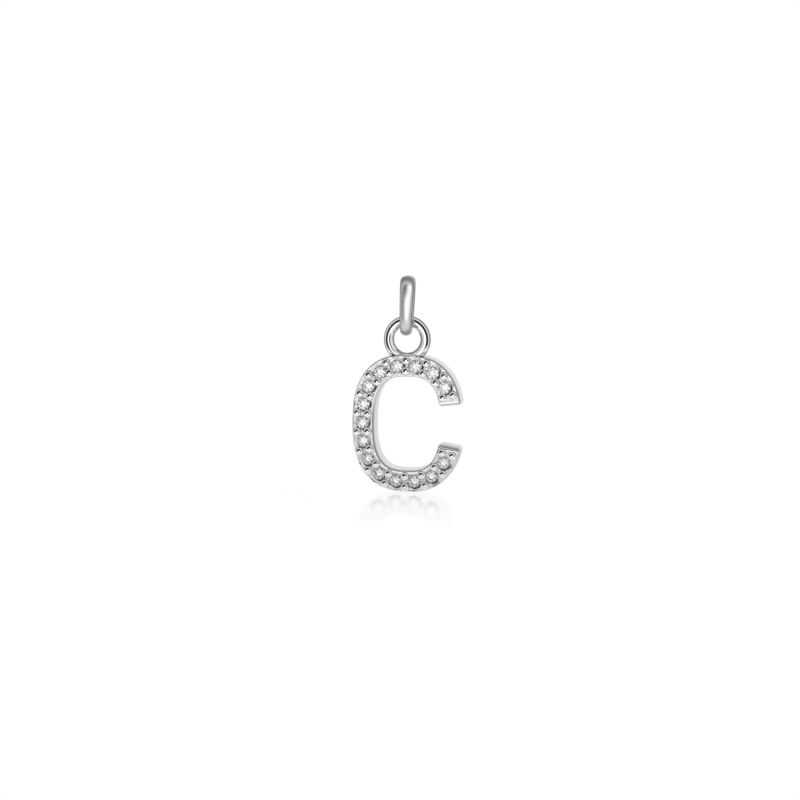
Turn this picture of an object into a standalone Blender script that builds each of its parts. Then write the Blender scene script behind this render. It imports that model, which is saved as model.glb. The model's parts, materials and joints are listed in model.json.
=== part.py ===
"""Initial pendant: an open letter strip set with a row of round stones, a soldered loop and an oval bail.

The letter stands in the XZ plane and faces -Y, with +Z up. The origin is the inner top of the bail, where a
neck chain passes. All sizes are in metres.
"""
import math

import bmesh
import bpy
import numpy as np
from mathutils import Matrix, Vector

MM = 0.001

# Letter: a squared oval strip that is open on its right side
LETTER_WIDTH = 8.70 * MM
LETTER_HEIGHT = 10.86 * MM
LETTER_DEPTH = 1.84 * MM
LETTER_SQUARENESS = 2.60
OPENING_HEIGHT = 3.56 * MM
UPPER_TIP = 0.22 * MM
LOWER_TIP = 0.07 * MM
EDGE_BEVEL = 0.08 * MM
EDGE_BEVEL_STEPS = 2
OUTLINE_STEPS = 60

# Stones: round brilliants in one row along the strip's centre line
STONE_DIAMETER = 1.10 * MM
STONE_TABLE_DIAMETER = 0.64 * MM
STONE_CROWN_HEIGHT = 0.17 * MM
STONE_GIRDLE_HEIGHT = 0.04 * MM
STONE_PAVILION_DEPTH = 0.47 * MM
STONE_COUNT = 15
STONE_MAIN_FACETS = 8
# Where the upper and lower side facets meet, as shares of the way from table and culet to the girdle
STAR_SHARE = 0.50
LOWER_SHARE = 0.24

# Seats: a flared dish, a round wall for the girdle, a cone under the stone and a hole through the back
STONE_CLEARANCE = 0.03 * MM
GIRDLE_DROP = 0.10 * MM
DISH_FLARE = 0.12 * MM
RIM_WIDTH = 0.10 * MM
BACK_HOLE_DIAMETER = 0.55 * MM
CUTTER_OVERRUN = 0.30 * MM

# Beads: one pair between two stones and one pair past each end stone
BEAD_EDGE_DISTANCE = 0.39 * MM
BEAD_STONE_GAP = 0.05 * MM
BEAD_SINK = 0.06 * MM
BEAD_SEGMENTS = 10
BEAD_RINGS = 8
END_MARGIN = 0.54 * MM

# Loop: a round wire ring soldered into the top of the letter, a little to the spine's side of its middle
LOOP_HOLE_DIAMETER = 2.12 * MM
LOOP_WIRE_DIAMETER = 0.84 * MM
LOOP_RISE = 0.19 * MM
LOOP_SHIFT = 0.10 * MM
LOOP_SEGMENTS = 36
LOOP_SIDES = 12

# Bail: a squared oval ring that is wider at its top
BAIL_HEIGHT = 4.75 * MM
BAIL_DEPTH = 3.80 * MM
BAIL_SQUARENESS = 2.80
BAIL_THICKNESS = 0.70 * MM
BAIL_TOP_WIDTH = 1.14 * MM
BAIL_BOTTOM_WIDTH = 0.86 * MM
BAIL_YAW = math.radians(8.0)
BAIL_SEGMENTS = 40
BAIL_BEVEL_RESOLUTION = 4

# Running fit of the loop on the bail, hanging and swung to the side
HANGING_GAP = 0.06 * MM
SWING_GAP = 0.10 * MM

WELD_DISTANCE = 0.0005 * MM
CAP_NORMAL_MIN = 0.99
SHARP_ANGLE = math.radians(35.0)
ARC_STEPS = 4000
QUARTER_TURN = math.pi / 2

# Sizes that follow
STONE_RADIUS = STONE_DIAMETER / 2
SEAT_RADIUS = STONE_RADIUS + STONE_CLEARANCE
DISH_RADIUS = SEAT_RADIUS + DISH_FLARE
STRIP_HALF_WIDTH = DISH_RADIUS + RIM_WIDTH
CENTRE_HALF_WIDTH = LETTER_WIDTH / 2 - STRIP_HALF_WIDTH
CENTRE_HALF_HEIGHT = LETTER_HEIGHT / 2 - STRIP_HALF_WIDTH
FRONT_Y = -LETTER_DEPTH / 2
STONE_SIDES = 2 * STONE_MAIN_FACETS
LOOP_HOLE_RADIUS = LOOP_HOLE_DIAMETER / 2
LOOP_WIRE_RADIUS = LOOP_WIRE_DIAMETER / 2

# Heights, from the bail's inner top downwards
BAIL_INNER_BOTTOM_Z = -(BAIL_HEIGHT - 2 * BAIL_THICKNESS)
LOOP_Z = BAIL_INNER_BOTTOM_Z + HANGING_GAP - LOOP_HOLE_RADIUS
LETTER_Z = LOOP_Z - LOOP_HOLE_RADIUS - LOOP_RISE - LETTER_HEIGHT / 2
PIVOT_Z = LOOP_Z + LOOP_HOLE_RADIUS - BAIL_BOTTOM_WIDTH / 2 - SWING_GAP


def clear_scene():
    """Remove whatever the scene holds."""
    for item in list(bpy.data.objects):
        bpy.data.objects.remove(item, do_unlink=True)


def new_collection(name):
    """Make a collection under the scene's own."""
    collection = bpy.data.collections.new(name)
    bpy.context.scene.collection.children.link(collection)
    return collection


def make_material(name, colour, roughness, metallic):
    """Make a Principled material."""
    material = bpy.data.materials.new(name)
    material.use_nodes = True
    shader = material.node_tree.nodes["Principled BSDF"]
    shader.inputs["Base Color"].default_value = (*colour, 1.0)
    shader.inputs["Roughness"].default_value = roughness
    shader.inputs["Metallic"].default_value = metallic
    return material


def add_object(name, data, collection, location=(0.0, 0.0, 0.0), parent=None):
    """Link an object with the given data into a collection, at a place under its parent."""
    item = bpy.data.objects.new(name, data)
    collection.objects.link(item)
    item.location = location
    item.parent = parent
    return item


def set_finish(item, material, smooth=True):
    """Give a mesh object one material and its shading."""
    item.data.materials.clear()
    item.data.materials.append(material)
    if smooth:
        item.data.shade_smooth()
        item.data.set_sharp_from_angle(angle=SHARP_ANGLE)


def curve_to_mesh(name, item):
    """Turn a curve object into a welded mesh in world space and remove the curve."""
    bpy.context.view_layer.update()
    source = item.evaluated_get(bpy.context.evaluated_depsgraph_get())
    mesh = bpy.data.meshes.new_from_object(source)
    mesh.name = name
    mesh.transform(item.matrix_world)
    bpy.data.objects.remove(item, do_unlink=True)
    shape = bmesh.new()
    shape.from_mesh(mesh)
    bmesh.ops.remove_doubles(shape, verts=shape.verts, dist=WELD_DISTANCE)
    bmesh.ops.recalc_face_normals(shape, faces=shape.faces)
    shape.to_mesh(mesh)
    shape.free()
    return mesh


def merge_caps(mesh):
    """Make each flat end of an extruded mesh one face, so that a bevel runs along its whole rim."""
    shape = bmesh.new()
    shape.from_mesh(mesh)
    caps = [face for face in shape.faces if abs(face.normal.y) > CAP_NORMAL_MIN]
    bmesh.ops.dissolve_faces(shape, faces=caps)
    shape.to_mesh(mesh)
    shape.free()


def squared_oval(angles, half_width, half_height, squareness):
    """Points of an oval about its middle; a squareness of 2 is an ellipse, more fills its corners."""
    power = 2 / squareness
    across = half_width * np.sign(np.cos(angles)) * np.abs(np.cos(angles)) ** power
    up = half_height * np.sign(np.sin(angles)) * np.abs(np.sin(angles)) ** power
    return across, up


class CentreLine:
    """The strip's centre line by arc length, from the middle of the spine, positive over the top."""

    def __init__(self):
        end_share = OPENING_HEIGHT / 2 / CENTRE_HALF_HEIGHT
        end_angle = math.asin(end_share ** (LETTER_SQUARENESS / 2))
        angles = np.linspace(math.pi, 0.0, ARC_STEPS)
        self.x, self.z = squared_oval(angles, CENTRE_HALF_WIDTH, CENTRE_HALF_HEIGHT, LETTER_SQUARENESS)
        steps = np.hypot(np.diff(self.x), np.diff(self.z))
        self.lengths = np.concatenate(([0.0], np.cumsum(steps)))
        self.half_length = float(np.interp(-end_angle, -angles, self.lengths))

    def point(self, length):
        """Place at a signed arc length, as x and z."""
        x = float(np.interp(abs(length), self.lengths, self.x))
        z = float(np.interp(abs(length), self.lengths, self.z))
        return x, math.copysign(z, length)

    def outward(self, length):
        """Unit normal that points out of the letter, as x and z."""
        reach = self.half_length / OUTLINE_STEPS
        first = self.point(length - reach)
        last = self.point(length + reach)
        run = math.hypot(last[0] - first[0], last[1] - first[1])
        return -(last[1] - first[1]) / run, (last[0] - first[0]) / run

    def offset(self, length, distance):
        """Place beside the centre line, positive to the outside."""
        x, z = self.point(length)
        outward_x, outward_z = self.outward(length)
        return x + distance * outward_x, z + distance * outward_z


def strip_outline(line):
    """Closed outline of the strip and its plain tips: the outer edge, then the inner edge back."""
    lengths = np.linspace(-line.half_length - LOWER_TIP, line.half_length + UPPER_TIP, OUTLINE_STEPS + 1)
    outer = [line.offset(length, STRIP_HALF_WIDTH) for length in lengths]
    inner = [line.offset(length, -STRIP_HALF_WIDTH) for length in lengths]
    return outer + inner[::-1]


def make_strip_mesh(line, collection):
    """Extrude the strip's outline to the letter's depth, standing in the XZ plane."""
    points = strip_outline(line)
    curve = bpy.data.curves.new("strip_outline", "CURVE")
    curve.dimensions = "2D"
    curve.fill_mode = "BOTH"
    curve.extrude = LETTER_DEPTH / 2
    spline = curve.splines.new("POLY")
    spline.points.add(len(points) - 1)
    for spot, (x, z) in zip(spline.points, points):
        spot.co = (x, z, 0.0, 1.0)
    spline.use_cyclic_u = True
    item = add_object("strip_outline", curve, collection)
    item.rotation_euler = (QUARTER_TURN, 0.0, 0.0)
    mesh = curve_to_mesh("letter_frame", item)
    merge_caps(mesh)
    return mesh


def add_bevel(item):
    """Round the strip's long edges and its four end corners."""
    bevel = item.modifiers.new("edge_bevel", "BEVEL")
    bevel.width = EDGE_BEVEL
    bevel.segments = EDGE_BEVEL_STEPS
    bevel.limit_method = "ANGLE"
    bevel.angle_limit = SHARP_ANGLE


def add_boolean(item, name, operation, collection):
    """Join the objects of a collection to an item, or cut them from it."""
    cut = item.modifiers.new(name, "BOOLEAN")
    cut.operation = operation
    cut.solver = "EXACT"
    cut.operand_type = "COLLECTION"
    cut.collection = collection


def hide_helper(item):
    """Mark an object that only shapes another one."""
    item.hide_render = True
    item.display_type = "WIRE"


def add_loop(collection, parent, place_x):
    """Stand the loop's ring on the top of the letter."""
    bpy.ops.mesh.primitive_torus_add(
        major_radius=LOOP_HOLE_RADIUS + LOOP_WIRE_RADIUS,
        minor_radius=LOOP_WIRE_RADIUS,
        major_segments=LOOP_SEGMENTS,
        minor_segments=LOOP_SIDES,
    )
    made = bpy.context.object
    mesh = made.data
    bpy.data.objects.remove(made, do_unlink=True)
    mesh.transform(Matrix.Rotation(QUARTER_TURN, 4, "X"))
    loop = add_object("loop_ring", mesh, collection, (place_x, 0.0, LOOP_Z - LETTER_Z), parent)
    hide_helper(loop)


def seat_profile():
    """Half section of a seat cutter, from its top centre outside and down to its bottom centre."""
    slope = STONE_PAVILION_DEPTH / STONE_RADIUS
    hole_radius = BACK_HOLE_DIAMETER / 2
    ledge = GIRDLE_DROP + STONE_GIRDLE_HEIGHT
    flare_rate = DISH_FLARE / GIRDLE_DROP
    return [
        (0.0, CUTTER_OVERRUN),
        (DISH_RADIUS + flare_rate * CUTTER_OVERRUN, CUTTER_OVERRUN),
        (SEAT_RADIUS, -GIRDLE_DROP),
        (SEAT_RADIUS, -ledge),
        (hole_radius, -ledge - slope * (SEAT_RADIUS - hole_radius)),
        (hole_radius, -LETTER_DEPTH - CUTTER_OVERRUN),
        (0.0, -LETTER_DEPTH - CUTTER_OVERRUN),
    ]


def make_turned_mesh(name, profile, sides, collection):
    """Turn a half section round its axis with a Screw modifier."""
    mesh = bpy.data.meshes.new(name)
    corners = [(radius, 0.0, height) for radius, height in profile]
    mesh.from_pydata(corners, [(i, i + 1) for i in range(len(corners) - 1)], [])
    item = add_object(name, mesh, collection)
    screw = item.modifiers.new("turn", "SCREW")
    screw.steps = sides
    screw.render_steps = sides
    screw.use_merge_vertices = True
    screw.merge_threshold = WELD_DISTANCE
    bpy.context.view_layer.update()
    source = item.evaluated_get(bpy.context.evaluated_depsgraph_get())
    turned = bpy.data.meshes.new_from_object(source)
    turned.name = name
    bpy.data.objects.remove(item, do_unlink=True)
    return turned


def facing_front(line, length):
    """Turn that lays a stone's or seat's axis along -Y, with one main facet across the strip."""
    outward_x, outward_z = line.outward(length)
    lay = Matrix.Rotation(QUARTER_TURN, 4, "X")
    spin = Matrix.Rotation(-math.atan2(outward_z, outward_x), 4, "Y")
    return spin @ lay


def add_seats(line, lengths, collection, parent):
    """Put one seat cutter at each stone's place."""
    mesh = make_turned_mesh("seat_cutter", seat_profile(), STONE_SIDES, collection)
    for number, length in enumerate(lengths, start=1):
        x, z = line.point(length)
        seat = add_object(f"seat_{number:02d}", mesh, collection, (x, FRONT_Y, z), parent)
        seat.rotation_euler = facing_front(line, length).to_euler()
        hide_helper(seat)


def add_beads(line, lengths, pitch, collection, parent):
    """Put a pair of beads at each place between and past the stones, sized to clear the stones."""
    side_distance = STRIP_HALF_WIDTH - BEAD_EDGE_DISTANCE
    radius = math.hypot(pitch / 2, side_distance) - STONE_RADIUS - BEAD_STONE_GAP
    mesh = bpy.data.meshes.new("bead")
    shape = bmesh.new()
    bmesh.ops.create_uvsphere(shape, u_segments=BEAD_SEGMENTS, v_segments=BEAD_RINGS, radius=radius)
    bmesh.ops.rotate(shape, verts=shape.verts, matrix=Matrix.Rotation(QUARTER_TURN, 3, "X"))
    shape.to_mesh(mesh)
    shape.free()
    for number, length in enumerate(lengths, start=1):
        for side, distance in (("outer", side_distance), ("inner", -side_distance)):
            x, z = line.offset(length, distance)
            place = (x, FRONT_Y + BEAD_SINK, z)
            bead = add_object(f"bead_{side}_{number:02d}", mesh, collection, place, parent)
            hide_helper(bead)


def ring_points(radius, height, count, turn):
    """Evenly spaced points on a level ring."""
    angles = [math.tau * i / count + turn for i in range(count)]
    return [Vector((radius * math.cos(a), radius * math.sin(a), height)) for a in angles]


def make_stone_mesh():
    """Round brilliant with its girdle's top at height 0: the hull of its facet corners."""
    table_radius = STONE_TABLE_DIAMETER / 2
    half_step = math.pi / STONE_MAIN_FACETS
    main_fall = STONE_CROWN_HEIGHT / (STONE_RADIUS - table_radius)
    star_radius = table_radius + STAR_SHARE * (STONE_RADIUS - table_radius)
    star_reach = star_radius * math.cos(half_step)
    star_height = STONE_CROWN_HEIGHT - main_fall * (star_reach - table_radius)
    lower_radius = LOWER_SHARE * STONE_RADIUS
    culet_height = -STONE_GIRDLE_HEIGHT - STONE_PAVILION_DEPTH
    main_rise = STONE_PAVILION_DEPTH / STONE_RADIUS
    lower_height = culet_height + main_rise * lower_radius * math.cos(half_step)
    corners = ring_points(table_radius, STONE_CROWN_HEIGHT, STONE_MAIN_FACETS, 0.0)
    corners += ring_points(star_radius, star_height, STONE_MAIN_FACETS, half_step)
    corners += ring_points(STONE_RADIUS, 0.0, STONE_SIDES, 0.0)
    corners += ring_points(STONE_RADIUS, -STONE_GIRDLE_HEIGHT, STONE_SIDES, 0.0)
    corners += ring_points(lower_radius, lower_height, STONE_MAIN_FACETS, half_step)
    corners.append(Vector((0.0, 0.0, culet_height)))
    shape = bmesh.new()
    for corner in corners:
        shape.verts.new(corner)
    bmesh.ops.convex_hull(shape, input=shape.verts)
    bmesh.ops.recalc_face_normals(shape, faces=shape.faces)
    mesh = bpy.data.meshes.new("stone")
    shape.to_mesh(mesh)
    shape.free()
    return mesh


def add_stones(line, lengths, collection, parent, material):
    """Set one stone in each seat."""
    for number, length in enumerate(lengths, start=1):
        x, z = line.point(length)
        place = (x, FRONT_Y + GIRDLE_DROP, z)
        stone = add_object(f"stone_{number:02d}", make_stone_mesh(), collection, place, parent)
        stone.rotation_euler = facing_front(line, length).to_euler()
        set_finish(stone, material, smooth=False)


def make_bail_mesh(collection):
    """Bend a round wire into the bail's oval, then widen it to its tapering width."""
    reach_y = (BAIL_DEPTH - BAIL_THICKNESS) / 2
    reach_z = (BAIL_HEIGHT - BAIL_THICKNESS) / 2
    angles = np.linspace(0.0, math.tau, BAIL_SEGMENTS, endpoint=False)
    places = zip(*squared_oval(angles, reach_y, reach_z, BAIL_SQUARENESS))
    curve = bpy.data.curves.new("bail_wire", "CURVE")
    curve.dimensions = "3D"
    curve.bevel_depth = BAIL_THICKNESS / 2
    curve.bevel_resolution = BAIL_BEVEL_RESOLUTION
    spline = curve.splines.new("POLY")
    spline.points.add(BAIL_SEGMENTS - 1)
    for spot, (y, z) in zip(spline.points, places):
        spot.co = (0.0, y, z, 1.0)
    spline.use_cyclic_u = True
    mesh = curve_to_mesh("bail", add_object("bail_wire", curve, collection))
    for vertex in mesh.vertices:
        share = 0.5 + vertex.co.z / BAIL_HEIGHT
        width = BAIL_BOTTOM_WIDTH + share * (BAIL_TOP_WIDTH - BAIL_BOTTOM_WIDTH)
        vertex.co.x *= width / BAIL_THICKNESS
    return mesh


def build_bail(collection, material):
    """Hang the bail with its inner top at the origin, edge-on to a view from the front right."""
    mesh = make_bail_mesh(collection)
    bail = add_object("bail", mesh, collection, (0.0, 0.0, BAIL_THICKNESS - BAIL_HEIGHT / 2))
    bail.rotation_euler = (0.0, 0.0, BAIL_YAW)
    set_finish(bail, material)


def build_letter(parts, metal, gem):
    """Build the soldered letter and its stones under an empty on the swing axis."""
    line = CentreLine()
    pitch = 2 * (line.half_length - END_MARGIN) / STONE_COUNT
    stone_lengths = [pitch * ((STONE_COUNT - 1) / 2 - i) for i in range(STONE_COUNT)]
    bead_lengths = [pitch * (STONE_COUNT / 2 - i) for i in range(STONE_COUNT + 1)]
    outline_x = [x for x, z in strip_outline(line)]
    loop_x = (min(outline_x) + max(outline_x)) / 2 - LOOP_SHIFT

    pivot = add_object("letter_pivot", None, parts, (0.0, 0.0, PIVOT_Z))
    frame = add_object("letter_frame", make_strip_mesh(line, parts), parts)
    frame.parent = pivot
    frame.location = (-loop_x, 0.0, LETTER_Z - PIVOT_Z)

    loops = new_collection("loop_helpers")
    seats = new_collection("seat_cutters")
    beads = new_collection("bead_helpers")
    add_loop(loops, frame, loop_x)
    add_seats(line, stone_lengths, seats, frame)
    add_beads(line, bead_lengths, pitch, beads, frame)
    add_bevel(frame)
    add_boolean(frame, "solder_loop", "UNION", loops)
    add_boolean(frame, "cut_seats", "DIFFERENCE", seats)
    add_boolean(frame, "raise_beads", "UNION", beads)
    set_finish(frame, metal)
    add_stones(line, stone_lengths, parts, frame, gem)


def main():
    """Build the pendant."""
    clear_scene()
    parts = new_collection("initial_pendant")
    metal = make_material("polished_silver", (0.88, 0.88, 0.89), 0.12, 1.0)
    gem = make_material("clear_stone", (0.93, 0.94, 0.96), 0.02, 0.0)
    build_bail(parts, metal)
    build_letter(parts, metal, gem)


main()
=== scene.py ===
"""Looks of the initial pendant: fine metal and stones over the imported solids, and the studio round them.

The letter stands in the XZ plane and faces -Y, with +Z up. The origin is the inner top of the bail, where a
neck chain passes. All lengths are in metres.
"""

import json
import logging
import math
import random
from dataclasses import dataclass, field
from enum import Enum

import bmesh
import bpy
import numpy as np
from bmesh.types import BMEdge, BMesh, BMVert
from bpy.types import Collection, Material, Mesh, Node, NodeSocket, NodeTree, Object
from mathutils import Matrix, Vector

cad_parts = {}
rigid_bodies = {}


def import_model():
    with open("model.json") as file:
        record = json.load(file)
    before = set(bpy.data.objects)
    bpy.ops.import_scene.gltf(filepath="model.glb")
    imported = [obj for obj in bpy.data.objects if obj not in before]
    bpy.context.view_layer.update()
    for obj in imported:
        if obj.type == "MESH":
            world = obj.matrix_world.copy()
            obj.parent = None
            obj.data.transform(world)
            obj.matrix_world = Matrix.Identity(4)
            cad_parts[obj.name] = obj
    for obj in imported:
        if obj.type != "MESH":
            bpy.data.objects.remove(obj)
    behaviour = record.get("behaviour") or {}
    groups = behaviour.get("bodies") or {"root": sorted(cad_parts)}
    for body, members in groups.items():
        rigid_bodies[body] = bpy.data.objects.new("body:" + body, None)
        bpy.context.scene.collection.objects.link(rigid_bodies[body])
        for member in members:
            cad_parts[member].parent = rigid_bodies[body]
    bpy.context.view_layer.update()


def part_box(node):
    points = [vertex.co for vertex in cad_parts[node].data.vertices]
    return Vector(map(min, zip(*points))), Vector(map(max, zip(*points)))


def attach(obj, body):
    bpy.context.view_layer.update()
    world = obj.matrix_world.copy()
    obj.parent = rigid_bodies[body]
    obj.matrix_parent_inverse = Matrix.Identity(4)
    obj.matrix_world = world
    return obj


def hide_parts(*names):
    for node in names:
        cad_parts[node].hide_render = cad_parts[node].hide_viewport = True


LOG = logging.getLogger("initial_pendant")
MM = 0.001
QUARTER_TURN = math.pi / 2
FLOOR_GAP = 0.12 * MM
WHITE = (1.0, 1.0, 1.0, 1.0)
# The range that nearly all of a noise output keeps to.
NOISE_RANGE = (0.3, 0.7)
# Places of the colour inputs and the colour output on a mix node, whose names repeat.
MIX_FIRST, MIX_SECOND, MIX_RESULT = 6, 7, 2


class Slot(Enum):
    """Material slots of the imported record."""

    SILVER = "silver"
    STONE = "stone"


class Body(Enum):
    """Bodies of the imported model."""

    BAIL = "bail"
    LETTER = "letter"


class Lit(Enum):
    """Groups of pieces that a light card can light by itself."""

    BAIL = "bail"
    STRIP = "strip"
    STONES = "stones"


class NodeGraph:
    """Short calls that add and link the nodes of one tree."""

    def __init__(self, tree: NodeTree) -> None:
        """Start an empty graph.

        Args:
            tree: The node tree to fill. What it holds is removed.
        """
        self.tree = tree
        tree.nodes.clear()

    def add(self, kind: str, **settings: object) -> Node:
        """Add a node.

        Args:
            kind: The node's type without its ShaderNode prefix.
            **settings: Properties of the node, and inputs by their names with _ for a space. An input
                takes a constant or an output to link.

        Returns:
            The new node.
        """
        node = self.tree.nodes.new("ShaderNode" + kind)
        for name, value in settings.items():
            if name in node.bl_rna.properties:
                setattr(node, name, value)
            elif isinstance(value, NodeSocket):
                self.link(value, node.inputs[name.replace("_", " ")])
            else:
                node.inputs[name.replace("_", " ")].default_value = value
        return node

    def link(self, source: NodeSocket, target: NodeSocket) -> None:
        """Join an output to an input."""
        self.tree.links.new(source, target)

    def place(self, stretch: tuple[float, float, float]) -> NodeSocket:
        """Give object coordinates, stretched along each axis.

        Args:
            stretch: Repeats per metre along x, y and z.

        Returns:
            The output that carries the coordinates.
        """
        where = self.add("TexCoord")
        return self.add("Mapping", Scale=stretch, Vector=where.outputs["Object"]).outputs["Vector"]

    def spread(self, source: NodeSocket, low: float, high: float, target: NodeSocket) -> None:
        """Bring a noise output to a range and link it on.

        Args:
            source: The noise output.
            low: Value for the noise's low end.
            high: Value for its high end.
            target: The input that takes the value.
        """
        first, last = NOISE_RANGE
        span = self.add("MapRange", From_Min=first, From_Max=last, To_Min=low, To_Max=high, Value=source)
        self.link(span.outputs["Result"], target)


@dataclass(frozen=True)
class SilverFinish:
    """A silver surface: its colour, its gloss and the fine marks that its polishing leaves."""

    name: str
    colour: tuple[float, float, float]
    tarnish: tuple[float, float, float]
    roughness: tuple[float, float]
    mark_size: tuple[float, float, float]
    mark_depth: float
    cloud_size: float = 0.9 * MM

    def material(self) -> Material:
        """Make the material.

        Returns:
            A node material whose colour, roughness and bump vary over the surface.
        """
        made = bpy.data.materials.new(self.name)
        made.use_nodes = True
        graph = NodeGraph(made.node_tree)
        out = graph.add("OutputMaterial")
        shader = graph.add("BsdfPrincipled", Metallic=1.0)
        graph.link(shader.outputs["BSDF"], out.inputs["Surface"])
        clouds = graph.add("TexNoise", Scale=1.0, Detail=3.0, Vector=graph.place((1 / self.cloud_size,) * 3))
        tint = graph.add("Mix", data_type="RGBA")
        graph.spread(clouds.outputs["Fac"], 0.0, 1.0, tint.inputs["Factor"])
        tint.inputs[MIX_FIRST].default_value = (*self.tarnish, 1.0)
        tint.inputs[MIX_SECOND].default_value = (*self.colour, 1.0)
        graph.link(tint.outputs[MIX_RESULT], shader.inputs["Base Color"])
        marks = graph.add("TexNoise", Scale=1.0, Detail=4.0,
                          Vector=graph.place(tuple(1 / size for size in self.mark_size)))
        graph.spread(marks.outputs["Fac"], *self.roughness, shader.inputs["Roughness"])
        bump = graph.add("Bump", Strength=1.0, Distance=self.mark_depth, Height=marks.outputs["Fac"])
        graph.link(bump.outputs["Normal"], shader.inputs["Normal"])
        return made


@dataclass(frozen=True)
class StoneFinish:
    """Clear cut stone with faint traces of its polishing."""

    name: str
    colour: tuple[float, float, float]
    refraction: float
    roughness: tuple[float, float]
    mark_size: float

    def material(self) -> Material:
        """Make the material.

        Returns:
            A refracting node material.
        """
        made = bpy.data.materials.new(self.name)
        made.use_nodes = True
        graph = NodeGraph(made.node_tree)
        out = graph.add("OutputMaterial")
        shader = graph.add("BsdfPrincipled", IOR=self.refraction, Base_Color=(*self.colour, 1.0))
        shader.inputs["Transmission Weight"].default_value = 1.0
        marks = graph.add("TexNoise", Scale=1.0, Detail=2.0, Vector=graph.place((1 / self.mark_size,) * 3))
        graph.spread(marks.outputs["Fac"], *self.roughness, shader.inputs["Roughness"])
        graph.link(shader.outputs["BSDF"], out.inputs["Surface"])
        return made


POLISHED = SilverFinish(
    "polished_silver", (0.93, 0.93, 0.935), (0.88, 0.88, 0.89), (0.02, 0.07),
    (0.09 * MM, 0.09 * MM, 0.09 * MM), 0.0003 * MM,
)
BRIGHT_CUT = SilverFinish(
    "bright_cut_silver", (0.80, 0.80, 0.805), (0.40, 0.40, 0.41), (0.08, 0.22),
    (0.06 * MM, 0.06 * MM, 0.06 * MM), 0.0010 * MM, 0.12 * MM,
)
SATIN = SilverFinish(
    "satin_silver", (0.66, 0.66, 0.655), (0.60, 0.60, 0.60), (0.33, 0.38),
    (0.10 * MM, 0.10 * MM, 0.60 * MM), 0.0002 * MM,
)
CLEAR = StoneFinish("clear_stone", (0.86, 0.86, 0.87), 2.15, (0.01, 0.05), 0.12 * MM)


def link_mesh(name: str, shape: BMesh, collection: Collection) -> Object:
    """Turn a bmesh into an object.

    Args:
        name: Name of the object and its mesh.
        shape: The geometry. It is freed.
        collection: Where the object goes.

    Returns:
        The new object.
    """
    bmesh.ops.recalc_face_normals(shape, faces=shape.faces)
    mesh = bpy.data.meshes.new(name)
    shape.to_mesh(mesh)
    shape.free()
    made = bpy.data.objects.new(name, mesh)
    collection.objects.link(made)
    return made


def bridge_rings(shape: BMesh, rings: list[list[BMVert]], closed: bool) -> None:
    """Make the faces between neighbouring rings of vertices.

    Args:
        shape: The geometry that holds the vertices.
        rings: Rings of equal length, or of one vertex for a tip.
        closed: Whether the last ring joins the first one.
    """
    pairs = list(zip(rings, rings[1:]))
    if closed:
        pairs.append((rings[-1], rings[0]))
    for first, second in pairs:
        count = max(len(first), len(second))
        for i in range(count):
            j = (i + 1) % count
            corners = [first[i % len(first)], first[j % len(first)],
                       second[j % len(second)], second[i % len(second)]]
            shape.faces.new(list(dict.fromkeys(corners)))


def turned_shape(profile: list[tuple[float, float]], sides: int, turn: float = 0.0) -> BMesh:
    """Turn a half section round the z axis.

    Args:
        profile: Radius and height of each corner. The first and last radius are 0.
        sides: Number of flats round the axis.
        turn: Angle of the first corner.

    Returns:
        A closed shape.
    """
    shape = bmesh.new()
    rings = []
    for radius, height in profile:
        count = sides if radius > 0 else 1
        angles = [turn + math.tau * i / sides for i in range(count)]
        rings.append([shape.verts.new((radius * math.cos(a), radius * math.sin(a), height)) for a in angles])
    bridge_rings(shape, rings, closed=False)
    return shape


def new_collection(name: str) -> Collection:
    """Make a collection under the scene's own."""
    made = bpy.data.collections.new(name)
    bpy.context.scene.collection.children.link(made)
    return made


def dress(piece: Object, body: Body, nodes: list[str]) -> None:
    """Hand a finished piece to the frame.

    Args:
        piece: The piece, in its place.
        body: The body that it rides on.
        nodes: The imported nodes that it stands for.
    """
    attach(piece, body.value)
    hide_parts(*nodes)
    LOG.info("%s: %d faces, for %s", piece.name, len(piece.data.polygons), ", ".join(nodes))


@dataclass
class StripLine:
    """Centre line of the letter's strip by arc length from the middle of the spine, positive over the top."""

    half_width: float
    half_height: float
    squareness: float
    end_height: float
    steps: int = 4000
    slope_parts: int = 60
    x: np.ndarray = field(init=False)
    z: np.ndarray = field(init=False)
    lengths: np.ndarray = field(init=False)
    half_length: float = field(init=False)

    def __post_init__(self) -> None:
        """Trace the upper half of the line."""
        end = math.asin((self.end_height / self.half_height) ** (self.squareness / 2))
        angles = np.linspace(math.pi, 0.0, self.steps)
        power = 2 / self.squareness
        self.x = self.half_width * np.sign(np.cos(angles)) * np.abs(np.cos(angles)) ** power
        self.z = self.half_height * np.abs(np.sin(angles)) ** power
        self.lengths = np.concatenate(([0.0], np.cumsum(np.hypot(np.diff(self.x), np.diff(self.z)))))
        self.half_length = float(np.interp(-end, -angles, self.lengths))

    def point(self, length: float) -> tuple[float, float]:
        """Find the place at a signed arc length.

        Args:
            length: Arc length from the middle of the spine.

        Returns:
            The place as x and z.
        """
        x = float(np.interp(abs(length), self.lengths, self.x))
        z = float(np.interp(abs(length), self.lengths, self.z))
        return x, math.copysign(z, length)

    def outward(self, length: float) -> tuple[float, float]:
        """Find the direction out of the letter.

        Args:
            length: Arc length from the middle of the spine.

        Returns:
            A unit vector as x and z.
        """
        reach = self.half_length / self.slope_parts
        first = self.point(length - reach)
        last = self.point(length + reach)
        run = math.hypot(last[0] - first[0], last[1] - first[1])
        return -(last[1] - first[1]) / run, (last[0] - first[0]) / run

    def offset(self, length: float, distance: float) -> tuple[float, float]:
        """Find a place beside the line.

        Args:
            length: Arc length from the middle of the spine.
            distance: How far from the line, positive to the outside.

        Returns:
            The place as x and z.
        """
        x, z = self.point(length)
        outward_x, outward_z = self.outward(length)
        return x + distance * outward_x, z + distance * outward_z


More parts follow.
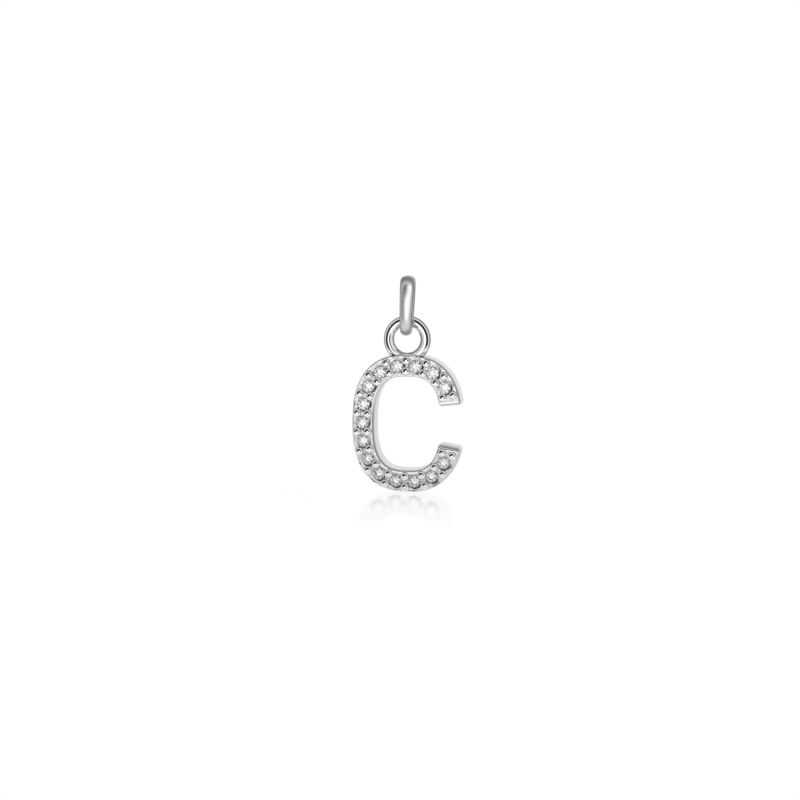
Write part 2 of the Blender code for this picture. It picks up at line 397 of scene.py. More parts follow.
@dataclass
class Bail:
    """The oval ring at the top, of rounded wire that is wider at its top than at its bottom."""

    height: float = 4.75 * MM
    depth: float = 3.80 * MM
    thickness: float = 0.70 * MM
    top_width: float = 1.16 * MM
    bottom_width: float = 0.90 * MM
    yaw: float = math.radians(8.0)
    lean: float = math.radians(1.5)
    squareness: float = 2.8
    round_steps: int = 200
    wire_steps: int = 40

    def shape(self) -> BMesh:
        """Sweep the wire round the oval.

        Returns:
            A closed ring about its own middle.
        """
        angles = np.linspace(0, math.tau, self.round_steps, endpoint=False)
        power = 2 / self.squareness
        line = np.stack((np.sign(np.cos(angles)) * np.abs(np.cos(angles)) ** power,
                         np.sign(np.sin(angles)) * np.abs(np.sin(angles)) ** power), axis=1)
        line *= ((self.depth - self.thickness) / 2, (self.height - self.thickness) / 2)
        run = np.roll(line, -1, axis=0) - np.roll(line, 1, axis=0)
        normals = np.stack((run[:, 1], -run[:, 0]), axis=1) / np.linalg.norm(run, axis=1)[:, None]
        shape = bmesh.new()
        rings = []
        for place, normal in zip(line, normals):
            ring = []
            for j in range(self.wire_steps):
                around = math.tau * j / self.wire_steps
                y, z = place + self.thickness / 2 * math.cos(around) * normal
                width = self.bottom_width + (0.5 + z / self.height) * (self.top_width - self.bottom_width)
                ring.append(shape.verts.new((width / 2 * math.sin(around), y, z)))
            rings.append(ring)
        bridge_rings(shape, rings, closed=True)
        return shape

    def build(self, collection: Collection) -> Object:
        """Build the bail, hang it at the origin and dress it.

        Args:
            collection: Where the piece goes.

        Returns:
            The bail.
        """
        shape = self.shape()
        turn = Matrix.Rotation(self.lean, 4, "Y") @ Matrix.Rotation(self.yaw, 4, "Z")
        drop = Matrix.Translation((0.0, 0.0, self.thickness - self.height / 2))
        shape.transform(turn @ drop)
        piece = link_mesh("bail_ring", shape, collection)
        piece.data.shade_smooth()
        piece.data.materials.append(SATIN.material())
        dress(piece, Body.BAIL, ["bail"])
        return piece


@dataclass
class Brilliant:
    """A round brilliant with 57 facets and a round girdle. Its girdle's top is at height 0."""

    diameter: float = 1.06 * MM
    table_diameter: float = 0.60 * MM
    crown_height: float = 0.17 * MM
    girdle_height: float = 0.03 * MM
    pavilion_depth: float = 0.455 * MM
    main_facets: int = 8
    star_share: float = 0.50
    lower_share: float = 0.24
    girdle_sides: int = 64
    blank_margin: float = 1.0 * MM
    weld: float = 1e-9

    def facet_planes(self) -> list[tuple[Vector, Vector, Vector]]:
        """List the facets.

        Returns:
            Three points of each facet's plane.
        """
        radius = self.diameter / 2
        table = self.table_diameter / 2
        step = math.tau / self.main_facets
        star = table + self.star_share * (radius - table)
        fall = self.crown_height / (radius - table)
        star_height = self.crown_height - fall * (star * math.cos(step / 2) - table)
        culet = -self.girdle_height - self.pavilion_depth
        lower = self.lower_share * radius
        lower_height = culet + self.pavilion_depth / radius * lower * math.cos(step / 2)

        def spot(distance: float, turn: float, height: float) -> Vector:
            """Place a corner by distance from the axis, angle and height."""
            return Vector((distance * math.cos(turn), distance * math.sin(turn), height))

        planes = [(spot(table, 0, self.crown_height), spot(table, step, self.crown_height),
                   spot(table, 2 * step, self.crown_height))]
        for i in range(self.main_facets):
            here = i * step
            planes.append((spot(table, here, self.crown_height), spot(star, here - step / 2, star_height),
                           spot(star, here + step / 2, star_height)))
            planes.append((spot(table, here, self.crown_height), spot(table, here + step, self.crown_height),
                           spot(star, here + step / 2, star_height)))
            planes.append((spot(0, 0, culet), spot(lower, here - step / 2, lower_height),
                           spot(lower, here + step / 2, lower_height)))
            for side in (0, step / 2):
                first, last = here + side, here + side + step / 2
                planes.append((spot(star, here + step / 2, star_height), spot(radius, first, 0),
                               spot(radius, last, 0)))
                planes.append((spot(lower, here + step / 2, lower_height),
                               spot(radius, first, -self.girdle_height),
                               spot(radius, last, -self.girdle_height)))
        return planes

    def mesh(self) -> Mesh:
        """Cut the stone from a round blank.

        Returns:
            The stone's mesh, with its axis along z.
        """
        top = self.crown_height + self.blank_margin
        bottom = -self.girdle_height - self.pavilion_depth - self.blank_margin
        radius = self.diameter / 2
        shape = turned_shape([(0, top), (radius, top), (radius, bottom), (0, bottom)], self.girdle_sides)
        middle = Vector((0.0, 0.0, -self.girdle_height / 2))
        for first, second, third in self.facet_planes():
            normal = (second - first).cross(third - first).normalized()
            if normal.dot(first - middle) < 0:
                normal.negate()
            everything = shape.verts[:] + shape.edges[:] + shape.faces[:]
            cut = bmesh.ops.bisect_plane(shape, geom=everything, dist=self.weld, plane_co=first,
                                         plane_no=normal, clear_outer=True)
            rim = [item for item in cut["geom_cut"] if isinstance(item, BMEdge)]
            if len(rim) > 2:
                bmesh.ops.contextual_create(shape, geom=rim)
        bmesh.ops.recalc_face_normals(shape, faces=shape.faces)
        mesh = bpy.data.meshes.new("brilliant")
        shape.to_mesh(mesh)
        shape.free()
        return mesh


@dataclass(frozen=True)
class WallShape:
    """How a wall of the strip falls back from its front: a rounded edge, then a slope that dies away."""

    edge_radius: float
    bulge: float
    reach: float
    rim_flat: float

    def levels(self, front: float, drop: float, steps: int) -> np.ndarray:
        """Trace the wall from the ground between the stones to the strip's back.

        Args:
            front: Place of the strip's front on the y axis. Its back lies as far on the other side.
            drop: How far the ground lies behind the front.
            steps: Number of steps of each rounding.

        Returns:
            Inset from the strip's outline and y of each level.
        """
        first = math.atan(self.reach / 3 / self.bulge)
        radius = self.edge_radius
        turns = [first * i / steps for i in range(steps + 1)]
        levels = [(self.bulge + radius * (math.sin(first) - math.sin(turn)),
                   front + radius * (1 - math.cos(turn))) for turn in turns]
        rim, start = levels[0][0] + self.rim_flat, levels[-1][1]
        levels[:0] = [(rim + drop / 2, front + drop), (rim, front)]
        levels += [(self.bulge * (1 - i / steps) ** 3, start + self.reach * i / steps)
                   for i in range(1, steps + 1)]
        for i in range(steps + 1):
            turn = QUARTER_TURN * i / steps
            levels.append((radius * (1 - math.cos(turn)), -front - radius * (1 - math.sin(turn))))
        return np.array(levels)


@dataclass
class SeatCutter:
    """The two cuts that take one stone: a bright-cut dish in the strip's front, and a seat in its middle."""

    stone: Brilliant = field(default_factory=Brilliant)
    girdle_drop: float = 0.10 * MM
    clearance: float = -0.015 * MM
    play: float = 0.01 * MM
    back_hole: float = 0.55 * MM
    dish_facets: int = 15
    dish_unevenness: float = 0.11
    dish_reach: tuple[float, float, float] = (0.80 * MM, 0.66 * MM, 0.79 * MM)
    dish_overlap: float = 0.05 * MM
    overrun: float = 0.30 * MM
    seat_sides: int = 64

    def radius(self) -> float:
        """Give the radius of the seat's wall."""
        return self.stone.diameter / 2 + self.clearance

    def dish(self, dice: random.Random) -> BMesh:
        """Make the cutter of the dish, whose flats are a little uneven as a graver leaves them.

        Args:
            dice: Source of the unevenness.

        Returns:
            A closed shape with its axis along z, x out of the letter and the strip's front at height 0.
        """
        seat = self.radius()
        grow = (self.overrun + self.girdle_drop) / self.girdle_drop
        top, bottom = self.overrun, -self.girdle_drop - self.play
        shape = turned_shape([(0, top), (1, top), (seat - self.dish_overlap, bottom), (0, bottom)],
                             self.dish_facets, dice.uniform(0, 1))
        outer, inner, along = self.dish_reach
        upper_ring = [vertex for vertex in shape.verts if vertex.co.xy.length > 2 * seat]
        for vertex in upper_ring:
            vertex.co.x *= seat + grow * ((outer if vertex.co.x > 0 else inner) - seat)
            vertex.co.y *= seat + grow * (along - seat)
            vertex.co.xy *= 1 + dice.uniform(-self.dish_unevenness, self.dish_unevenness)
        return shape

    def seat(self, strip_depth: float) -> BMesh:
        """Make the cutter of the seat: a wall for the girdle, a cone and a hole through the back.

        Args:
            strip_depth: Depth of the strip from its front to its back.

        Returns:
            A closed shape with its axis along z and the strip's front at height 0.
        """
        radius, hole = self.radius(), self.back_hole / 2
        ledge = self.girdle_drop + self.stone.girdle_height + self.play
        slope = self.stone.pavilion_depth / (self.stone.diameter / 2)
        top, bottom = self.overrun, -strip_depth - self.overrun
        return turned_shape([(0, top), (radius, top), (radius, -ledge),
                             (hole, -ledge - slope * (radius - hole)), (hole, bottom), (0, bottom)],
                            self.seat_sides)


@dataclass
class Bead:
    """One raised bead of the letter's metal: a short post with a domed top."""

    radius: float = 0.35 * MM
    dome: float = 0.27 * MM
    rise: float = 0.30 * MM
    unevenness: float = 0.03
    sides: int = 28
    dome_steps: int = 8

    def shape(self, dice: random.Random) -> BMesh:
        """Make the bead.

        Args:
            dice: Source of the small difference in width from bead to bead.

        Returns:
            A closed shape with its axis along z and the strip's front at height 0.
        """
        radius = self.radius * (1 + dice.uniform(-self.unevenness, self.unevenness))
        turns = [QUARTER_TURN * i / self.dome_steps for i in range(self.dome_steps)]
        shoulder = self.rise - self.dome
        dome = [(radius * math.cos(a), shoulder + self.dome * math.sin(a)) for a in turns]
        return turned_shape([(0, -self.dome), (radius, -self.dome), *dome, (0, self.rise)], self.sides)


@dataclass
class HangingLoop:
    """The wire loop on top of the letter, round outside and worn to a slope towards its hole."""

    hole: float = 2.12 * MM
    wire: float = 0.84 * MM
    centre_z: float = -4.35 * MM
    front_turn: float = math.radians(100.0)
    slope_turn: tuple[float, float] = (math.radians(36.0), math.radians(62.0))
    slope_reach: float = 0.33 * MM
    section_steps: tuple[int, int, int] = (15, 9, 5)
    round_steps: int = 120
    crease: float = math.radians(18.0)

    def section(self) -> list[tuple[float, float]]:
        """Trace the wire's section from its outermost point over the front, down the slope and round behind.

        Returns:
            Points about the wire's middle, as distance outwards and y.
        """
        wire = self.wire / 2
        front_steps, slope_steps, inner_steps = self.section_steps
        front = [(wire * math.cos(a), wire * math.sin(a))
                 for a in np.linspace(0.0, self.front_turn, front_steps)]
        slope = np.linspace(*self.slope_turn, slope_steps)
        step = self.slope_reach / float(np.cos(slope).sum())
        for turn in slope:
            out, y = front[-1]
            front.append((out - step * math.cos(turn), y - step * math.sin(turn)))
        out, y = front[-1]
        radius = y / math.cos(slope[-1])
        front += [(out + radius * (math.sin(slope[-1]) - math.sin(a)), radius * math.cos(a))
                  for a in np.linspace(slope[-1], QUARTER_TURN, inner_steps)[1:]]
        return front + [(out, -y) for out, y in front[-2:0:-1]]

    def build(self, collection: Collection, finish: Material) -> Object:
        """Build the loop under the origin.

        Args:
            collection: Where the piece goes.
            finish: Its material.

        Returns:
            The loop.
        """
        shape = bmesh.new()
        middle = (self.hole + self.wire) / 2
        section = self.section()
        rings = []
        for i in range(self.round_steps):
            angle = math.tau * i / self.round_steps
            rings.append([shape.verts.new(((middle + out) * math.cos(angle), y,
                                           self.centre_z + (middle + out) * math.sin(angle)))
                          for out, y in section])
        bridge_rings(shape, rings, closed=True)
        loop = link_mesh("hanging_loop", shape, collection)
        loop.data.materials.append(finish)
        loop.data.shade_smooth()
        loop.data.set_sharp_from_angle(angle=self.crease)
        return loop


@dataclass
class LetterFrame:
    """The cast letter: an open strip with stone seats and beads, and the wire loop soldered on its top."""

    width: float = 8.70 * MM
    height: float = 10.86 * MM
    depth: float = 1.84 * MM
    squareness: float = 2.60
    half_strip: float = 0.80 * MM
    opening_height: float = 3.56 * MM
    lower_tip: float = 0.07 * MM
    upper_tip: float = 0.22 * MM
    tip_grow: float = 0.07 * MM
    tip_clearance: float = 0.05 * MM
    edge_grow: float = 0.09 * MM
    side_wall: WallShape = WallShape(0.06 * MM, 0.09 * MM, 0.55 * MM, 0.02 * MM)
    end_wall: WallShape = WallShape(0.14 * MM, 0.22 * MM, 1.30 * MM, 0.06 * MM)
    corner_radius: float = 0.26 * MM
    ground_drop: float = 0.05 * MM
    upper_rim: float = 0.09 * MM
    outline_steps: int = 240
    round_steps: int = 6
    crease: float = math.radians(32.0)
    stone_count: int = 15
    end_margin: float = 0.54 * MM
    bead_edge_distance: tuple[float, float] = (0.35 * MM, 0.39 * MM)
    bead: Bead = field(default_factory=Bead)
    seat: SeatCutter = field(default_factory=SeatCutter)
    loop: HangingLoop = field(default_factory=HangingLoop)
    loop_rise: float = 0.19 * MM
    loop_shift: float = 0.10 * MM
    loop_steps: int = 60
    seed: int = 7
    line: StripLine = field(init=False)
    origin: Vector = field(init=False)

    def __post_init__(self) -> None:
        """Work out the centre line and the place of the letter's middle under the loop."""
        self.line = StripLine(self.width / 2 - self.half_strip, self.height / 2 - self.half_strip,
                              self.squareness, self.opening_height / 2)
        edge = [self.line.offset(length, self.half_strip)[0] for length in self.lengths(self.loop_steps)]
        loop_x = (min(edge) + max(edge)) / 2 - self.loop_shift
        middle_z = self.loop.centre_z - self.loop.hole / 2 - self.loop_rise - self.height / 2
        self.origin = Vector((-loop_x, 0.0, middle_z))

    def lengths(self, steps: int) -> np.ndarray:
        """Divide the centre line from the lower tip to the upper one.

        Args:
            steps: Number of parts.

        Returns:
            Arc lengths from the middle of the spine.
        """
        return np.linspace(-self.line.half_length - self.lower_tip, self.line.half_length + self.upper_tip,
                           steps + 1)

    def tips(self) -> list[tuple[np.ndarray, np.ndarray, np.ndarray]]:
        """Find the two end faces of the strip, the lower one first.

        Returns:
            For each its middle, the direction across the strip and that out of the metal, as x and z.
        """
        ends = []
        for end in (-self.line.half_length - self.lower_tip - self.tip_grow,
                    self.line.half_length + self.upper_tip + self.tip_grow):
            out = np.array(self.line.outward(end))
            along = math.copysign(1.0, end) * np.array((out[1], -out[0]))
            ends.append((np.array(self.line.point(end)), out, along))
        return ends

    def side_lengths(self, side: int, clearance: float) -> list[float]:
        """List the points of a side wall that lie clear of both end faces.

        Args:
            side: 1 for the outer wall, -1 for the inner one.
            clearance: Least distance from an end face.

        Returns:
            Arc lengths on the centre line.
        """
        half, tips = self.half_strip + self.edge_grow, self.tips()
        kept = []
        for length in self.lengths(self.outline_steps):
            spot = np.array(self.line.offset(length, side * half))
            if all((spot - tip) @ along < -clearance or (spot - tip) @ (spot - tip) > 4 * half * half
                   for tip, _, along in tips):
                kept.append(float(length))
        return kept

    def ring(self, lengths: dict[int, list[float]], side_level: np.ndarray, end_level: np.ndarray,
             widen: float) -> list[tuple[float, float, float]]:
        """Trace the strip's edge at one level, with rounded corners at its two ends.

        Args:
            lengths: Arc lengths of the points on the outer and the inner side wall.
            side_level: Inset and y of the side walls at this level.
            end_level: Inset and y of the end faces.
            widen: What the rim gains where its wall faces up.

        Returns:
            The points of the level.
        """
        half, radius = self.half_strip + self.edge_grow, self.corner_radius
        (side_inset, side_y), (end_inset, end_y) = side_level, end_level
        across, onward = radius - side_inset, max(radius - end_inset, 0.0)
        points = []
        for side, (tip, out, along) in zip((1, -1), reversed(self.tips())):
            for length in lengths[side][::side]:
                inset = side_inset + widen * max(side * self.line.outward(length)[1], 0.0)
                x, z = self.line.offset(length, side * (half - inset))
                points.append((x, side_y, z))
            for corner in (side, -side):
                for i in range(self.round_steps + 1):
                    turn = QUARTER_TURN * (i if corner == side else self.round_steps - i) / self.round_steps
                    x, z = (tip + corner * (half - side_inset - across * (1 - math.cos(turn))) * out
                            - (end_inset + onward * (1 - math.sin(turn))) * along)
                    points.append((x, side_y + math.sin(turn) ** 2 * (end_y - side_y), z))
        return points

    def strip_shape(self) -> BMesh:
        """Build the plain strip with rounded edges.

        Returns:
            A closed shape about the letter's middle.
        """
        sides, ends = (wall.levels(-self.depth / 2, self.ground_drop, self.round_steps)
                       for wall in (self.side_wall, self.end_wall))
        lengths = {side: self.side_lengths(side, ends[0, 0] + self.tip_clearance) for side in (1, -1)}
        shape = bmesh.new()
        rings = []
        for number, (side, end) in enumerate(zip(sides, ends)):
            widen = self.upper_rim if number < 2 else 0.0
            rings.append([shape.verts.new(spot) for spot in self.ring(lengths, side, end, widen)])
        bridge_rings(shape, rings, closed=False)
        shape.faces.new(rings[0])
        shape.faces.new(rings[-1])
        return shape

    def facing_front(self, length: float) -> Matrix:
        """Give the place and turn of a stone or seat.

        Args:
            length: Arc length of the stone on the centre line.

        Returns:
            A matrix that lays the z axis along -Y at the strip's front.
        """
        x, z = self.line.point(length)
        outward_x, outward_z = self.line.outward(length)
        spin = Matrix.Rotation(-math.atan2(outward_z, outward_x), 4, "Y")
        lay = Matrix.Rotation(QUARTER_TURN, 4, "X")
        return Matrix.Translation((x, -self.depth / 2, z)) @ spin @ lay

    def row(self, count: int) -> list[float]:
        """Spread stones, or the beads between them, over the strip.

        Args:
            count: How many, at the stones' pitch and about the middle of the spine.

        Returns:
            Arc lengths from the upper end to the lower one.
        """
        pitch = 2 * (self.line.half_length - self.end_margin) / self.stone_count
        return [pitch * ((count - 1) / 2 - i) for i in range(count)]

    def fill_helpers(self, helpers: dict[str, Collection], bright: Material, polished: Material) -> None:
        """Fill the helper collections with dishes, seats and beads.

        Args:
            helpers: Collections by name.
            bright: Finish of the dishes and seats.
            polished: Finish of the beads.
        """
        dice = random.Random(self.seed)
        for i, length in enumerate(self.row(self.stone_count)):
            for kind, shape in (("dishes", self.seat.dish(dice)), ("seats", self.seat.seat(self.depth))):
                shape.transform(self.facing_front(length))
                cutter = link_mesh(f"{kind}_{i:02d}", shape, helpers[kind])
                cutter.data.materials.append(bright)
        for i, length in enumerate(self.row(self.stone_count + 1)):
            turn = self.facing_front(length).to_3x3().to_4x4()
            for side, edge in zip((1, -1), self.bead_edge_distance):
                x, z = self.line.offset(length, side * (self.half_strip - edge))
                shape = self.bead.shape(dice)
                shape.transform(Matrix.Translation((x, -self.depth / 2, z)) @ turn)
                bead = link_mesh(f"bead_{i:02d}_{side}", shape, helpers["beads"])
                bead.data.materials.append(polished)
                bead.data.shade_smooth()

    def carve(self, strip: Object, bright: Material, polished: Material) -> None:
        """Cut the dishes and seats into the strip and raise the beads on it.

        Args:
            strip: The plain strip, whose mesh is replaced.
            bright: Finish of the dishes and seats.
            polished: Finish of the beads.
        """
        steps = {"dishes": "DIFFERENCE", "seats": "DIFFERENCE", "beads": "UNION"}
        helpers = {name: new_collection(name) for name in steps}
        self.fill_helpers(helpers, bright, polished)
        for name, operation in steps.items():
            step = strip.modifiers.new(name, "BOOLEAN")
            step.operation = operation
            step.solver = "EXACT"
            step.operand_type = "COLLECTION"
            step.collection = helpers[name]
            step.material_mode = "TRANSFER"
        bpy.context.view_layer.update()
        cut = bpy.data.meshes.new_from_object(strip.evaluated_get(bpy.context.evaluated_depsgraph_get()))
        strip.modifiers.clear()
        strip.data = cut
        cut.name = strip.name
        for helper in helpers.values():
            for item in list(helper.objects):
                bpy.data.objects.remove(item, do_unlink=True)
            bpy.data.collections.remove(helper)

    def build(self, collection: Collection) -> list[Object]:
        """Build the letter's metal and dress it.

        Args:
            collection: Where the pieces go.

        Returns:
            The strip with its beads, and the loop.
        """
        polished, bright = POLISHED.material(), BRIGHT_CUT.material()
        strip = link_mesh("letter_strip", self.strip_shape(), collection)
        strip.data.materials.append(polished)
        strip.data.materials.append(bright)
        strip.data.shade_smooth()
        front_and_back = sorted(strip.data.polygons, key=lambda face: len(face.vertices))[-2:]
        ground = min(front_and_back, key=lambda face: face.center.y)
        ground.material_index = 1
        self.carve(strip, bright, polished)
        strip.data.set_sharp_from_angle(angle=self.crease)
        strip.data.transform(Matrix.Translation(self.origin))
        even = strip.modifiers.new("even_flats", "WEIGHTED_NORMAL")
        even.keep_sharp = True
        even.weight = 100
        pieces = [strip, self.loop.build(collection, polished)]
        for piece in pieces:
            dress(piece, Body.LETTER, ["letter_frame"])
        return pieces


@dataclass
class StoneRow:
    """The fifteen stones, each in its seat."""

    letter: LetterFrame

    def build(self, collection: Collection) -> list[Object]:
        """Build the stones and dress them.

        Args:
            collection: Where the pieces go.

        Returns:
            The stones, from the upper end of the letter to the lower one.
        """
        letter, finish = self.letter, CLEAR.material()
        stones = []
        for number, length in enumerate(letter.row(letter.stone_count), start=1):
            mesh = letter.seat.stone.mesh()
            sink = Matrix.Translation((0.0, 0.0, -letter.seat.girdle_drop))
            mesh.transform(Matrix.Translation(letter.origin) @ letter.facing_front(length) @ sink)
            mesh.materials.append(finish)
            stone = bpy.data.objects.new(f"brilliant_{number:02d}", mesh)
            collection.objects.link(stone)
            dress(stone, Body.LETTER, [f"stone_{number:02d}"])
            stones.append(stone)
        return stones


@dataclass
class PhotoCamera:
    """The camera of the photograph."""

    lens: float = 60.0
    azimuth: float = math.radians(11.21)
    elevation: float = math.radians(6.81)
    roll: float = math.radians(0.62)
    distance: float = 106.7 * MM
    target: tuple[float, float, float] = (-0.543 * MM, 0.0, -9.231 * MM)
    clip: tuple[float, float] = (1.0 * MM, 10.0)

    def direction(self) -> Vector:
        """Give the unit vector from the pendant to the camera."""
        return Vector((math.sin(self.azimuth) * math.cos(self.elevation),
                       -math.cos(self.azimuth) * math.cos(self.elevation), math.sin(self.elevation)))

    def build(self) -> Object:
        """Set up the camera.

        Returns:
            The camera, which is the scene's own.
        """
        data = bpy.data.cameras.new("photo_camera")
        data.lens = self.lens
        data.clip_start, data.clip_end = self.clip
        camera = bpy.data.objects.new("photo_camera", data)
        bpy.context.scene.collection.objects.link(camera)
        back = self.direction()
        right = Vector((0, 0, 1)).cross(back).normalized()
        up = back.cross(right)
        rolled_right = right * math.cos(self.roll) + up * math.sin(self.roll)
        rolled_up = up * math.cos(self.roll) - right * math.sin(self.roll)
        turn = Matrix((rolled_right, rolled_up, back)).transposed().to_4x4()
        camera.matrix_world = Matrix.Translation(Vector(self.target) + back * self.distance) @ turn
        bpy.context.scene.camera = camera
        return camera


@dataclass(frozen=True)
class FloorFinish:
    """White floor: glossy round the pendant, a plain glow further off, and clear towards its edge."""

    mirror_share: float = 0.4
    mirror_reach: float = 16.0 * MM
    mirror_roughness: float = 0.10
    mirrored: float = 0.77
    rear_glow: float = 0.6
    rear_edge: tuple[float, float] = (-2.5 * MM, 0.5 * MM)
    fade: tuple[float, float] = (16.0 * MM, 40.0 * MM)

    def glow_power(self, graph: NodeGraph, place: NodeSocket, share: NodeSocket) -> NodeSocket:
        """Work out the glow that makes up for the gloss, and that shows dimmer in the metal towards the rear.

        Args:
            graph: The floor's nodes.
            place: Position on the floor.
            share: The gloss's share there.

        Returns:
            The strength of the glow.
        """
        keep = graph.add("Math", operation="SUBTRACT")
        keep.inputs[0].default_value = 1.0
        graph.link(share, keep.inputs[1])
        odds = graph.add("Math", operation="DIVIDE")
        graph.link(share, odds.inputs[0])
        graph.link(keep.outputs["Value"], odds.inputs[1])
        lift = graph.add("Math", operation="MULTIPLY_ADD")
        lift.inputs[1].default_value = 1.0 - self.mirrored
        lift.inputs[2].default_value = 1.0
        graph.link(odds.outputs["Value"], lift.inputs[0])
        axes = graph.add("SeparateXYZ", Vector=place)
        first, last = self.rear_edge
        shade = graph.add("MapRange", interpolation_type="SMOOTHSTEP", From_Min=first, From_Max=last,
                          To_Min=1.0, To_Max=self.rear_glow, Value=axes.outputs["Y"])
        path = graph.add("LightPath")
        dim = graph.add("MapRange", From_Min=0.0, From_Max=1.0, To_Min=shade.outputs["Result"], To_Max=1.0,
                        Value=path.outputs["Is Camera Ray"])
        power = graph.add("Math", operation="MULTIPLY")
        graph.link(lift.outputs["Value"], power.inputs[0])
        graph.link(dim.outputs["Result"], power.inputs[1])
        return power.outputs["Value"]

    def material(self) -> Material:
        """Make the floor's material.

        Returns:
            The material.
        """
        made = bpy.data.materials.new("white_floor")
        made.use_nodes = True
        graph = NodeGraph(made.node_tree)
        out = graph.add("OutputMaterial")
        where = graph.add("NewGeometry")
        flat = graph.add("VectorMath", operation="MULTIPLY")
        flat.inputs[1].default_value = (1.0, 1.0, 0.0)
        graph.link(where.outputs["Position"], flat.inputs[0])
        far = graph.add("VectorMath", operation="LENGTH")
        graph.link(flat.outputs["Vector"], far.inputs[0])
        share = graph.add("MapRange", interpolation_type="SMOOTHSTEP", From_Min=0.0,
                          From_Max=self.mirror_reach, To_Min=self.mirror_share, To_Max=0.0,
                          Value=far.outputs["Value"])
        power = self.glow_power(graph, where.outputs["Position"], share.outputs["Result"])
        glow = graph.add("Emission", Color=WHITE, Strength=power)
        gloss = graph.add("BsdfAnisotropic", Roughness=self.mirror_roughness, Color=WHITE)
        mix = graph.add("MixShader", Fac=share.outputs["Result"])
        graph.link(glow.outputs["Emission"], mix.inputs[1])
        graph.link(gloss.outputs["BSDF"], mix.inputs[2])
        clear = graph.add("BsdfTransparent")
        first, last = self.fade
        edge = graph.add("MapRange", interpolation_type="SMOOTHSTEP", From_Min=first, From_Max=last,
                         To_Min=0.0, To_Max=1.0, Value=far.outputs["Value"])
        veil = graph.add("MixShader", Fac=edge.outputs["Result"])
        graph.link(mix.outputs["Shader"], veil.inputs[1])
        graph.link(clear.outputs["BSDF"], veil.inputs[2])
        graph.link(veil.outputs["Shader"], out.inputs["Surface"])
        return made


@dataclass(frozen=True)
class Card:
    """A soft white card that lights some groups of pieces only. Its angles are in degrees.

    Azimuth goes from -Y towards +X, width and height are as the pendant sees them, and roll turns the card
    about its own axis. A glow of 1 is the floor's white.
    """

    name: str
    azimuth: float
    elevation: float
    width: float
    height: float
    glow: float
    lit: tuple[Lit, ...]
    roll: float = 0.0


CARDS = (
    Card("strip_card", 33, 9, 54, 100, 1.6, (Lit.BAIL,), roll=-13),
    Card("side_card", -42, 8, 46, 70, 0.35, (Lit.BAIL,)),
    Card("low_card", 3, -34, 44, 38, 1.3, (Lit.STRIP,)),
    Card("right_card", 44, -4, 36, 50, 0.3, (Lit.STRIP, Lit.STONES)),
    Card("high_card", 34, 30, 30, 32, 0.55, (Lit.STRIP, Lit.STONES)),
    Card("gem_card", 12, -30, 78, 42, 1.4, (Lit.STONES,)),
    Card("gem_side_card", -26, 30, 60, 60, 0.7, (Lit.STONES,)),
)


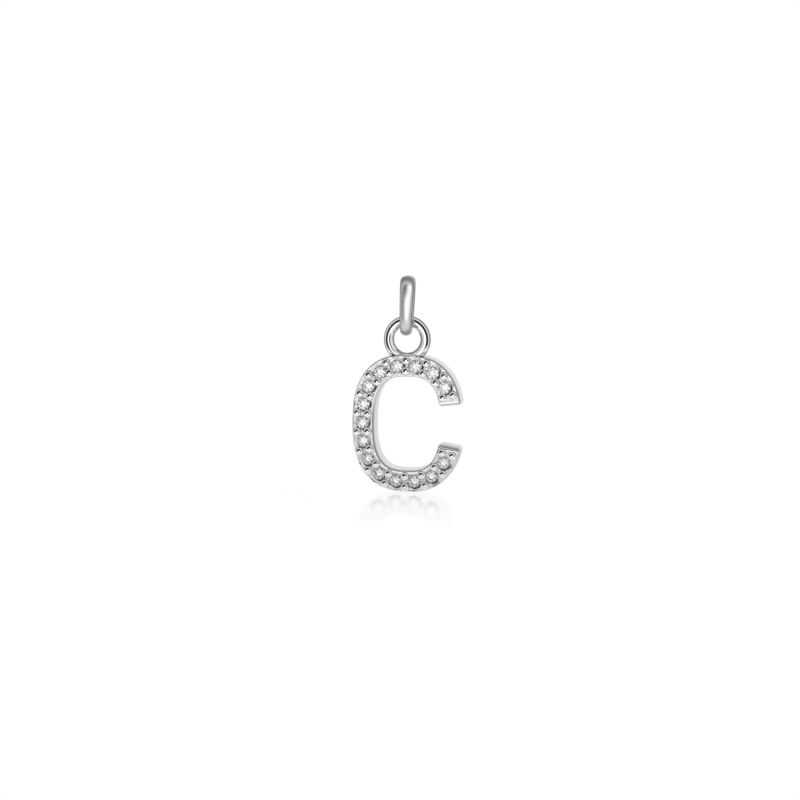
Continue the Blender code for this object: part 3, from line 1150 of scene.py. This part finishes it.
@dataclass
class Studio:
    """White studio: the floor, a surround with dark parts that draw the metal's edges, and light cards."""

    floor_z: float
    finish: FloorFinish = FloorFinish()
    cards: tuple[Card, ...] = CARDS
    card_distance: float = 0.5
    axis: tuple[float, float, float] = (0.0, -0.996, -0.09)
    surround: tuple[tuple[float, float], ...] = (
        (0, 1.0), (18, 1.0), (21, 0.015), (65, 0.015), (70, 0.62), (96, 0.62), (104, 0.13), (130, 0.18),
        (150, 0.44), (165, 0.61), (180, 0.66),
    )
    strength: float = 1.25

    def build_floor(self, collection: Collection) -> None:
        """Lay the floor, whose gloss fades away from the pendant.

        Args:
            collection: Where the floor goes.
        """
        shape = bmesh.new()
        bmesh.ops.create_grid(shape, x_segments=1, y_segments=1, size=self.finish.fade[1])
        shape.transform(Matrix.Translation((0.0, 0.0, self.floor_z)))
        floor = link_mesh("floor", shape, collection)
        floor.data.materials.append(self.finish.material())

    def build_surround(self) -> None:
        """Make the surround, whose grey goes by the angle from an axis out of the front."""
        world = bpy.data.worlds.new("studio_surround")
        bpy.context.scene.world = world
        world.use_nodes = True
        graph = NodeGraph(world.node_tree)
        out = graph.add("OutputWorld")
        where = graph.add("TexCoord")
        turn = graph.add("VectorMath", operation="DOT_PRODUCT")
        turn.inputs[1].default_value = self.axis
        graph.link(where.outputs["Generated"], turn.inputs[0])
        angle = graph.add("Math", operation="ARCCOSINE")
        graph.link(turn.outputs["Value"], angle.inputs[0])
        span = graph.add("MapRange", From_Min=0.0, From_Max=math.pi, To_Min=0.0, To_Max=1.0,
                         Value=angle.outputs["Value"])
        ramp = graph.add("ValToRGB", Fac=span.outputs["Result"])
        stops = ramp.color_ramp.elements
        while len(stops) < len(self.surround):
            stops.new(0.5)
        for stop, (degrees, grey) in zip(stops, self.surround):
            stop.position = degrees / 180
            stop.color = (grey, grey, grey, 1.0)
        light = graph.add("Background", Strength=self.strength, Color=ramp.outputs["Color"])
        plain = graph.add("Background", Color=WHITE, Strength=1.0)
        path = graph.add("LightPath")
        mix = graph.add("MixShader", Fac=path.outputs["Is Camera Ray"])
        graph.link(light.outputs["Background"], mix.inputs[1])
        graph.link(plain.outputs["Background"], mix.inputs[2])
        graph.link(mix.outputs["Shader"], out.inputs["Surface"])

    def build_card(self, card: Card, groups: dict[Lit, list[Object]]) -> None:
        """Stand one light card before the pendant.

        Args:
            card: The card.
            groups: The pieces of each group.
        """
        away = Matrix.Rotation(math.radians(card.azimuth), 4, "Z") @ Matrix.Rotation(
            -math.radians(card.elevation), 4, "X") @ Vector((0.0, -self.card_distance, 0.0))
        data = bpy.data.lights.new(card.name, "AREA")
        data.shape = "RECTANGLE"
        data.size, data.size_y = (2 * self.card_distance * math.tan(math.radians(turn) / 2)
                                  for turn in (card.width, card.height))
        data.energy = card.glow * math.pi * data.size * data.size_y
        light = bpy.data.objects.new(card.name, data)
        bpy.context.scene.collection.objects.link(light)
        light.location = Vector((0.0, 0.0, self.floor_z / 2)) + away
        light.rotation_euler = (away.to_track_quat("Z", "Y").to_matrix()
                                @ Matrix.Rotation(math.radians(card.roll), 3, "Z")).to_euler()
        reach = new_collection(f"{card.name}_reach")
        for group in card.lit:
            for piece in groups[group]:
                reach.objects.link(piece)
        light.light_linking.receiver_collection = reach

    def build(self, collection: Collection, groups: dict[Lit, list[Object]]) -> None:
        """Set up the floor, the cards, the surround and the way tones are shown.

        Args:
            collection: Where the stage goes.
            groups: The pieces that the cards can light, by group.
        """
        self.build_floor(collection)
        for card in self.cards:
            self.build_card(card, groups)
        self.build_surround()
        bpy.context.scene.view_settings.view_transform = "Standard"
        LOG.info("studio: floor at %.2f mm", self.floor_z / MM)


def main() -> None:
    """Build the pendant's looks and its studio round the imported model."""
    logging.basicConfig(level=logging.INFO, format="%(message)s")
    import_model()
    pieces = new_collection("pendant_looks")
    stage = new_collection("studio")
    PhotoCamera().build()
    bail = Bail().build(pieces)
    letter = LetterFrame()
    strip, _ = letter.build(pieces)
    stones = StoneRow(letter).build(pieces)
    studio = Studio(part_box("letter_frame")[0].z - FLOOR_GAP)
    studio.build(stage, {Lit.BAIL: [bail], Lit.STRIP: [strip], Lit.STONES: stones})


if __name__ == "__main__":
    main()
